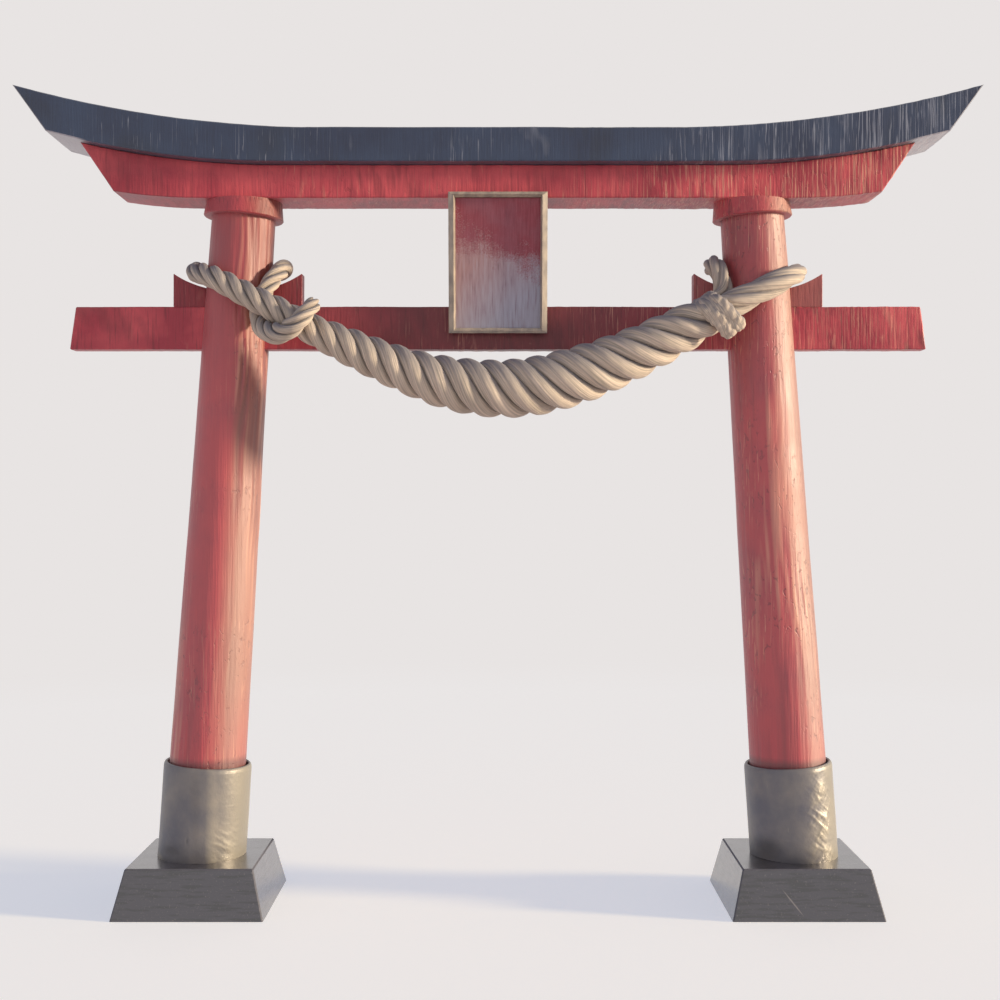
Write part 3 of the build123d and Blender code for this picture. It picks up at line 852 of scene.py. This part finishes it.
def sleeve_relief(place, normal, side, sign, foot):
    """Dents and folds of one sleeve, in metres, from where on it the point is."""
    local = place - foot
    if normal.dot(Vector((local.x, local.y, 0))) < 0:
        return 0.0  # the side towards the pillar stays smooth
    turned = math.atan2(local.x, -local.y)
    round_it, arc, up = math.degrees(turned), SLEEVE_RADIUS * turned, local.z
    dents = 1.3 * rough(place, (0.15, 0.15, 0.2), 4 * sign) + 0.3 * rough(place, (0.03,) * 3)
    for out, at, spread, level, tall in KNOCKS[side]:
        dents += out * bell(round_it - at, spread) * bell(up - level, tall)
    if side == "right":
        strip = bell(round_it - 27, 19) * bell(up - 0.17, 0.2)
        patches = max(0, 0.6 + 0.9 * rough((arc, up, 0), (0.06, 0.06, 1), 3))
        crossed = creases(arc, up, 2.0) + 0.8 * creases(-arc, 0.5 * up, 7.0)
        dents += 3.4 * strip * patches * crossed
    else:
        dents += 2.0 * bell(round_it - 23, 9) - 1.8 * bell(round_it - 4, 9)
        dents += 1.3 * bell(round_it - 42, 22) * bell(up - 0.06, 0.06) * creases(arc, up, 5.0)
    return dents * MM


print("a knock of 3.5 mm is, one width off,", round(3.5 * bell(18, 18), 2), "mm deep")

# %% Sleeves
SLEEVE_STEPS = 320
# How far each corner of the profile is from the pillar's axis, and how far up.
RIM_PROFILE_MM = [
    (180.5, -30), (180.5, 366), (179, 376), (175, 383), (170, 385), (165.5, 382), (163.5, 375),
    (163, 345), (158.6, 340), (160.5, -30),
]

for side, sign in SIDES:
    name = f"{side}_sleeve"
    foot = Vector((sign * FOOT_OFF_MIDDLE, 0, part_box(name)[0].z))
    lean = Matrix.Rotation(-sign * LEAN, 3, "Y")
    bm = bmesh.new()
    corners = [bm.verts.new(foot + lean @ Vector((r * MM, 0, h * MM))) for r, h in RIM_PROFILE_MM]
    lines = [bm.edges.new((a, b)) for a, b in zip(corners, corners[1:] + corners[:1])]
    bmesh.ops.spin(
        bm, geom=corners + lines, cent=foot, axis=lean @ Vector((0, 0, 1)),
        angle=2 * math.pi, steps=SLEEVE_STEPS, use_merge=True,
    )
    bmesh.ops.remove_doubles(bm, verts=bm.verts, dist=NEAR)
    bmesh.ops.bridge_loops(bm, edges=cut_level(bm, foot, clear_inner=True))
    bmesh.ops.recalc_face_normals(bm, faces=bm.faces)
    slice_evenly(bm, 2, 4.5 * MM)
    worked_piece(
        name, "sheet", bm, lambda co, no: sleeve_relief(co, no, side, sign, foot),
        copper,
    )

# %% [markdown]
# The plinths are dark granite, polished once and streaked by wet weather. Its base colour
# is nearly black and the shine comes from a clear coat of high index, so a face looks dark
# from the front and pale wherever it is seen aslant. A chipped edge has lost its polish, so
# the same finish is made a second time without the coat.

# %% Granite
WET, DRY, GRAIN, BROKEN, SCORED = "#0F0E19", "#2F2D39", "#7C7876", "#7D7E85", "#A39C96"


def granite(name, polish):
    """Dark stone: polished faces shine pale when seen aslant, broken edges stay dull."""
    stone, add, follow = new_finish(name)
    place = follow["Object"]
    relief = add("Attribute", attribute_name="relief").outputs["Fac"]
    level = add("Mapping", {"Vector": place, "Scale": per_metre(110, 110, 12)})
    streaks = add("TexNoise", {"Vector": level, "Scale": 1.0, "Detail": 3.0})
    grains = add("TexNoise", {"Vector": place, "Scale": per_metre(7), "Detail": 2.0})
    chip = add(
        "MapRange",
        {"Value": relief, "From Min": -0.5, "From Max": -1.2,
         "To Min": 0.5 - 0.5 * polish, "To Max": 0.55 - 0.2 * polish},
    )
    # A pale score, 160 mm long, runs aslant down the front of the right plinth.
    beside = add(
        "Mapping",
        {"Vector": place, "Location": (1.172, -0.345, 0.072), "Scale": (0.08, 0.3, 0.004),
         "Rotation": (0, math.radians(51), 0)},
        vector_type="TEXTURE",
    )
    score = add("TexGradient", {"Vector": beside}, gradient_type="SPHERICAL")
    colour = coats(add, WET, [
        (DRY, streaks, 0.38, 0.5, 1.0),
        (GRAIN, grains, 0.62, 0.74, 0.4),
        (BROKEN, chip),
        (SCORED, score, 0.1, 0.5, 0.5),
    ])
    height = add("Math", {0: grains, 1: 1.0, 2: streaks}, operation="MULTIPLY_ADD")
    bump = add("Bump", {"Height": height, "Strength": 0.6, "Distance": 2 * MM})
    shader = add(
        "BsdfPrincipled",
        {"Base Color": colour, "Roughness": 0.75 - 0.43 * polish, "Normal": bump, "IOR": 1.6,
         "Coat Weight": polish, "Coat Roughness": 0.2, "Coat IOR": 1.75},
    )
    add("OutputMaterial", {"Surface": shader})
    return stone


polished_granite = granite("polished_granite", 1.0)
broken_granite = granite("broken_granite", 0.0)
print("granite", polished_granite.name, "and", broken_granite.name)

# %% [markdown]
# Each block has four drawn sides and a flat top. The solids are right but too perfect, so
# their copies get faces that are gently uneven, and edges that have lost chips: a point near
# an edge sinks in where the noise says so.

# %% Plinths
DRAWN_IN = 0.157  # the share by which a plinth's top is narrower than its foot
CHIPS_REACH = 6 * MM
ACROSS_AN_EDGE = 0.42  # a face whose normal has two parts above this lies on a chipped edge


def stone_relief(place, low, high, seed):
    """A gently uneven face, and chips where two faces meet."""
    half, off = (high - low) / 2, place - (low + high) / 2
    half_here = half.x * (1 - DRAWN_IN * (off.z + half.z) / (2 * half.z))
    gaps = sorted((half_here - abs(off.x), half_here - abs(off.y), half.z - off.z))
    near_edge = bell(max(gaps[1], 0), CHIPS_REACH)
    chips = max(0.0, rough(place, (0.02,) * 3, seed) - 0.25) * 3
    return (0.5 * (1 - near_edge) * rough(place, (0.08,) * 3, seed) - near_edge * chips) * MM


for side, sign in SIDES:
    name = f"{side}_plinth"
    low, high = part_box(name)
    block = copy_of_solid(name)
    for axis in (0, 1, 2):
        slice_evenly(block, axis, 9 * MM)
    stone = worked_piece(
        name, "weathered", block, lambda co, _: stone_relief(co, low, high, 5.0 * sign),
        polished_granite,
    )
    stone.data.materials.append(broken_granite)
    for face in stone.data.polygons:
        if sorted(abs(part) for part in face.normal)[1] > ACROSS_AN_EDGE:
            face.material_index = 1

# %% [markdown]
# The tablet's frame is planed hardwood that was oiled. Its figure is long and low, so the
# noise is stretched along the bars and is strong enough to see only near by.

# %% Wood of the frame
# Oiled hardwood is smooth, so an edge that faces the sun shines pale.
frame_wood, add, follow = new_finish("oiled_hardwood")
along = add("Mapping", {"Vector": follow["Object"], "Scale": per_metre(25, 25, 60)})
figure = add("TexNoise", {"Vector": along, "Scale": 1.0, "Detail": 4.0})
colour = coats(add, "#9C9285", [("#C2B5A0", figure, 0.35, 0.65, 1.0)])
bump = add("Bump", {"Height": figure, "Strength": 0.3, "Distance": 1 * MM})
shader = add(
    "BsdfPrincipled", {"Base Color": colour, "Roughness": 0.42, "Normal": bump, "Coat Weight": 0.3}
)
add("OutputMaterial", {"Surface": shader})
print(frame_wood.name, len(frame_wood.node_tree.nodes), "nodes")

# %% [markdown]
# The panel was red over a grey ground, and the paint has flaked from the foot upwards. A
# height on the panel, made ragged by noise, decides where the red has gone, and fine specks
# near that line make it break up as real paint does. Brush strokes run down both coats. The
# back is bare boards. The panel carries no writing.

# %% Paint of the panel
# Chalky old paint has almost no shine, so the colours alone tell the two coats apart.
panel_paint, add, follow = new_finish("flaking_red_over_grey_ground")
place = follow["Object"]
where = add("SeparateXYZ", {0: place}).outputs
behind = add("SeparateXYZ", {0: follow["Normal"]}).outputs["Y"]
to_upper_right, to_upper_left = (
    add("Math", {0: where["X"], 1: slope, 2: where["Z"]}, operation="MULTIPLY_ADD")
    for slope in (0.5, -0.8)
)
ragged = add(
    "TexNoise", {"Vector": place, "Scale": per_metre(182), "Detail": 5.0, "Roughness": 0.55}
)
edge = add("Math", {0: ragged, 1: 0.6, 2: to_upper_right}, operation="MULTIPLY_ADD")
worn = add("MapRange", {"Value": edge, "From Min": 3.1, "From Max": 2.9})
specks = add("TexNoise", {"Vector": place, "Scale": per_metre(5.3), "Detail": 2.0})
speck = add(
    "MapRange", {"Value": specks, "From Min": 0.3, "From Max": 0.7, "To Min": 0.25, "To Max": 0.65}
)
ahead = add("Math", {0: worn, 1: speck}, operation="SUBTRACT")
flaked = add("MapRange", {"Value": ahead, "From Min": -0.3, "From Max": 0.3})
brush = add("Mapping", {"Vector": place, "Scale": per_metre(8, 60, 90)})
strokes = add("TexNoise", {"Vector": brush, "Scale": 1.0, "Detail": 3.0})
ground = coats(add, "#B49090", [
    ("#A9A8B6", to_upper_left, 2.72, 2.42, 1.0),  # cooler towards the lower right
    ("#C2C2CE", strokes, 0.5, 0.7, 0.3),  # pale strokes
    ("#86606C", strokes, 0.5, 0.3, 0.35),  # rosy strokes
])
red = coats(add, "#8A3642", [
    ("#A04B57", strokes, 0.3, 0.7, 1.0),  # lighter strokes
    ("#9E6E7A", ragged, 0.5, 0.66, 0.3),  # chalky haze
])
boards = coats(add, "#5E4A42", [("#7A6355", strokes, 0.3, 0.7, 1.0)])
colour = coats(add, red, [
    (ground, flaked),
    ("#5F5158", strokes, 0.36, 0.24, 0.35),  # stains in both coats
    (boards, behind, -0.6, 0.0, 1.0),
])
height = add("Math", {0: flaked, 1: -0.6, 2: strokes}, operation="MULTIPLY_ADD")
bump = add("Bump", {"Height": height, "Strength": 0.5, "Distance": 1 * MM})
shader = add("BsdfPrincipled", {"Base Color": colour, "Roughness": 0.55, "Normal": bump})
add("OutputMaterial", {"Surface": shader})
print(panel_paint.name, len(panel_paint.node_tree.nodes), "nodes")

# %% [markdown]
# The four bars of the frame are moulded: their outer edges slope back, and the stiles' inner
# edges lean over the panel. The solids are plain bars, so their copies are moulded here. The
# heights are shifted together for all four, so that the corners still meet.

# %% Bars of the frame
SLOPED_BACK, LEANED_IN = 11 * MM, 7 * MM
RAISED_MM = [10, 3, 11, 5]  # foot and top of the sill, foot and top of the head
panel_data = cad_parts["tablet_panel"].data
tablet_front = max(panel_data.polygons, key=lambda face: -face.normal.y).normal.copy()
tablet_up = tablet_front.cross(Vector((1, 0, 0)))
OUTWARDS = {
    "tablet_left_stile": Vector((-1, 0, 0)),
    "tablet_right_stile": Vector((1, 0, 0)),
    "tablet_head": tablet_up,
    "tablet_sill": -tablet_up,
}


def lies_between(edge, first, second):
    """Whether an edge parts a face that looks one way from a face that looks another."""
    if len(edge.link_faces) != 2:
        return False
    one, other = (face.normal for face in edge.link_faces)
    return min(one @ first, other @ second) > 0.9 or min(other @ first, one @ second) > 0.9


bars = {name: copy_of_solid(name) for name in OUTWARDS}
heights = {name: [v.co @ tablet_up for v in bar.verts] for name, bar in bars.items()}
levels = [end(heights[name]) for name in ("tablet_sill", "tablet_head") for end in (min, max)]
for name, bar in bars.items():
    outwards = OUTWARDS[name]
    bar.normal_update()
    outer = {v for e in bar.edges if lies_between(e, outwards, tablet_front) for v in e.verts}
    front = max(bar.faces, key=lambda f: f.normal @ tablet_front)
    for vertex in front.verts:
        if vertex in outer:
            vertex.co -= tablet_front * SLOPED_BACK
        elif abs(outwards.x) == 1:
            vertex.co -= outwards * LEANED_IN
    for vertex in bar.verts:
        raised = np.interp(vertex.co @ tablet_up, levels, RAISED_MM)
        vertex.co += tablet_up * float(raised) * MM
    for axis in (0, 2):
        slice_evenly(bar, axis, 9 * MM)
    worked_piece(
        name, "planed", bar, lambda co, _: 0.35 * MM * rough(co, (0.03,) * 3, 1.0),
        frame_wood,
    )
panel_data.materials.clear()
panel_data.materials.append(panel_paint)
print("tablet faces", tuple(round(part, 3) for part in tablet_front))

# %% [markdown]
# The rope is rice straw. Its fibres run along each strand, so the pattern reads the strand's
# own UV map: one unit of it is the whole rope one way and once round a strand the other way.
# What faces up is painted a bluish grey, as painted shade, and where a strand sinks between
# its neighbours it is painted darker, as painted shade with some dirt.

# %% Straw
# Dry straw is matt, with a faint sheen where fibres are seen from the side.
FIBRE_LONG_MM, FIBRE_WIDE_MM = 135, 5.5
STRAND_GIRTH = 2 * math.pi * 0.03
straw, add, follow = new_finish("rice_straw")
straw_scale = (
    float(rope_along[-1]) * per_metre(FIBRE_LONG_MM), STRAND_GIRTH * per_metre(FIBRE_WIDE_MM), 1
)
upward = add("SeparateXYZ", {0: follow["Normal"]}).outputs["Z"]
valley = add("Attribute", attribute_name="valley").outputs["Fac"]
combed = add("Mapping", {"Vector": follow["UV"], "Scale": straw_scale})
fibres = add("TexNoise", {"Vector": combed, "Scale": 1.0, "Detail": 4.0})
colour = coats(add, "#A59B8B", [
    ("#EBDAC4", fibres, 0.3, 0.7, 1.0),  # pale stalks
    ("#6F727E", upward, 0.0, 0.8, 0.8),  # painted shade on faces that look up, bluish
    ("#47474F", valley, 0.0, 1.0, 0.4),  # painted shade where strands sink between each other, with dirt
])
bump = add("Bump", {"Height": fibres, "Strength": 0.7, "Distance": 4 * MM})
shader = add(
    "BsdfPrincipled",
    {"Base Color": colour, "Roughness": 0.75, "Normal": bump, "Sheen Weight": 0.1},
)
add("OutputMaterial", {"Surface": shader})
for strand in strands:
    strand.data.materials.append(straw)
print("straw repeats", [round(value, 1) for value in straw_scale])

# %% [markdown]
# The collars, the strut and the battens behind the tablet are plain joinery whose solids
# already have the right shape, so they only get the paint. Their meshes are left alone.

# %% Plain timbers
plain_timbers = ("left_collar", "right_collar", "strut", "upper_batten", "lower_batten")
for name in plain_timbers:
    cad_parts[name].data.materials.clear()
    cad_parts[name].data.materials.append(collar_paint)
print(len(plain_timbers), "plain timbers are painted with", collar_paint.name)

# %% [markdown]
# The gate stands on a pale floor that fades into a pale surround, as a studio sweep does. A
# curved backdrop would hide the gate from behind, so the floor stays flat and fades by how
# far it lies from the gate. Its warm matt colour takes the sun, and its faint cool glow
# stays in the shadows, which turns them blue. Other light rays meet a plain matt floor.

# %% Floor
SURROUND = "#E8E4E3"
FLOOR_RADIUS = 80
FADE_STARTS, FADE_ENDS = 6.5, 8.5

floor_mesh = bmesh.new()
bmesh.ops.create_circle(floor_mesh, cap_ends=True, radius=FLOOR_RADIUS, segments=96)
floor_data = bpy.data.meshes.new("floor")
floor_mesh.to_mesh(floor_data)
floor_mesh.free()
floor = add_object("floor", floor_data)
floor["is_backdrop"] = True


def one_of(add, *rays):
    """1 for a ray of one of these kinds, and 0 for any other."""
    path = add("LightPath").outputs
    found = path[rays[0]]
    for ray in rays[1:]:
        found = add("Math", {0: found, 1: path[ray]}, operation="MAXIMUM")
    return found


floor_paint, add, follow = new_finish("floor_paint")
off = add("VectorMath", {0: follow["Object"]}, operation="LENGTH")
far = add(
    "MapRange", {"Value": off.outputs["Value"], "From Min": FADE_STARTS, "From Max": FADE_ENDS}
)
matt = add("BsdfDiffuse", {"Color": "#E1DBB6"})
glow = add("Emission", {"Color": "#E9EDFF", "Strength": 0.55})
near = add("AddShader", {0: matt, 1: glow})
surround = add("Emission", {"Color": SURROUND, "Strength": 1.0})
seen = add("MixShader", {0: far, 1: near, 2: surround})
bounce = add("BsdfDiffuse", {"Color": "#FBF2EC"})
direct = one_of(add, "Is Camera Ray", "Is Glossy Ray")
floor_out = add("MixShader", {0: direct, 1: bounce, 2: seen})
add("OutputMaterial", {"Surface": floor_out})
floor_data.materials.append(floor_paint)
print("floor radius", FLOOR_RADIUS, "m, fades from", FADE_STARTS, "to", FADE_ENDS, "m")

# %% [markdown]
# The sky is a soft light: warm and bright towards the sun, cool and dimmer behind, and blue
# overhead, so that every face gets a tint from where it looks. Only what the camera sees
# directly, in a shine or through glass, is the pale surround itself.

# %% Sky
COOL, WARM, OVERHEAD = "#CFCFDB", "#FFF4EC", "#5A6280"
sky, add, follow = new_finish("sky", bpy.data.worlds)
scene.world = sky
heading = follow["Generated"]
height = add("SeparateXYZ", {0: heading}).outputs["Z"]
to_sun = add("VectorMath", {0: heading, 1: (0.8, -0.6, 0)}, operation="DOT_PRODUCT")
colour = coats(add, COOL, [
    (WARM, to_sun.outputs["Value"], -0.8, 0.9, 1.0),
    (OVERHEAD, height, 0.05, 0.6, 1.0),
])
fill = add("Background", {"Color": colour, "Strength": 1.22})
pale = add("Background", {"Color": SURROUND, "Strength": 1.0})
direct = one_of(add, "Is Camera Ray", "Is Glossy Ray", "Is Transmission Ray")
seen = add("MixShader", {0: direct, 1: fill, 2: pale})
add("OutputWorld", {"Surface": seen})
print("sky nodes", len(sky.node_tree.nodes))

# %% [markdown]
# A low warm sun comes from the right, a little in front of the gate. It is seven degrees
# wide, as through thin cloud, which softens the shadows' edges.

# %% Sun
SUN_TURN, SUN_HEIGHT = math.radians(81), math.radians(10.5)
sun = add_object("sun", bpy.data.lights.new("sun", "SUN"))
towards = Vector((
    math.sin(SUN_TURN) * math.cos(SUN_HEIGHT),
    -math.cos(SUN_TURN) * math.cos(SUN_HEIGHT),
    math.sin(SUN_HEIGHT),
))
sun.data.energy = 4.4
sun.data.color = (1.0, 0.82, 0.60)
sun.data.angle = math.radians(7)
sun.rotation_mode = "QUATERNION"
sun.rotation_quaternion = towards.to_track_quat("Z", "Y")
print("sun comes from", tuple(round(part, 2) for part in towards))

# %% [markdown]
# The dressed gate must still be the size of its solids, so its box is printed.

# %% Sizes
low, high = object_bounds()
print("visual box", low, high)
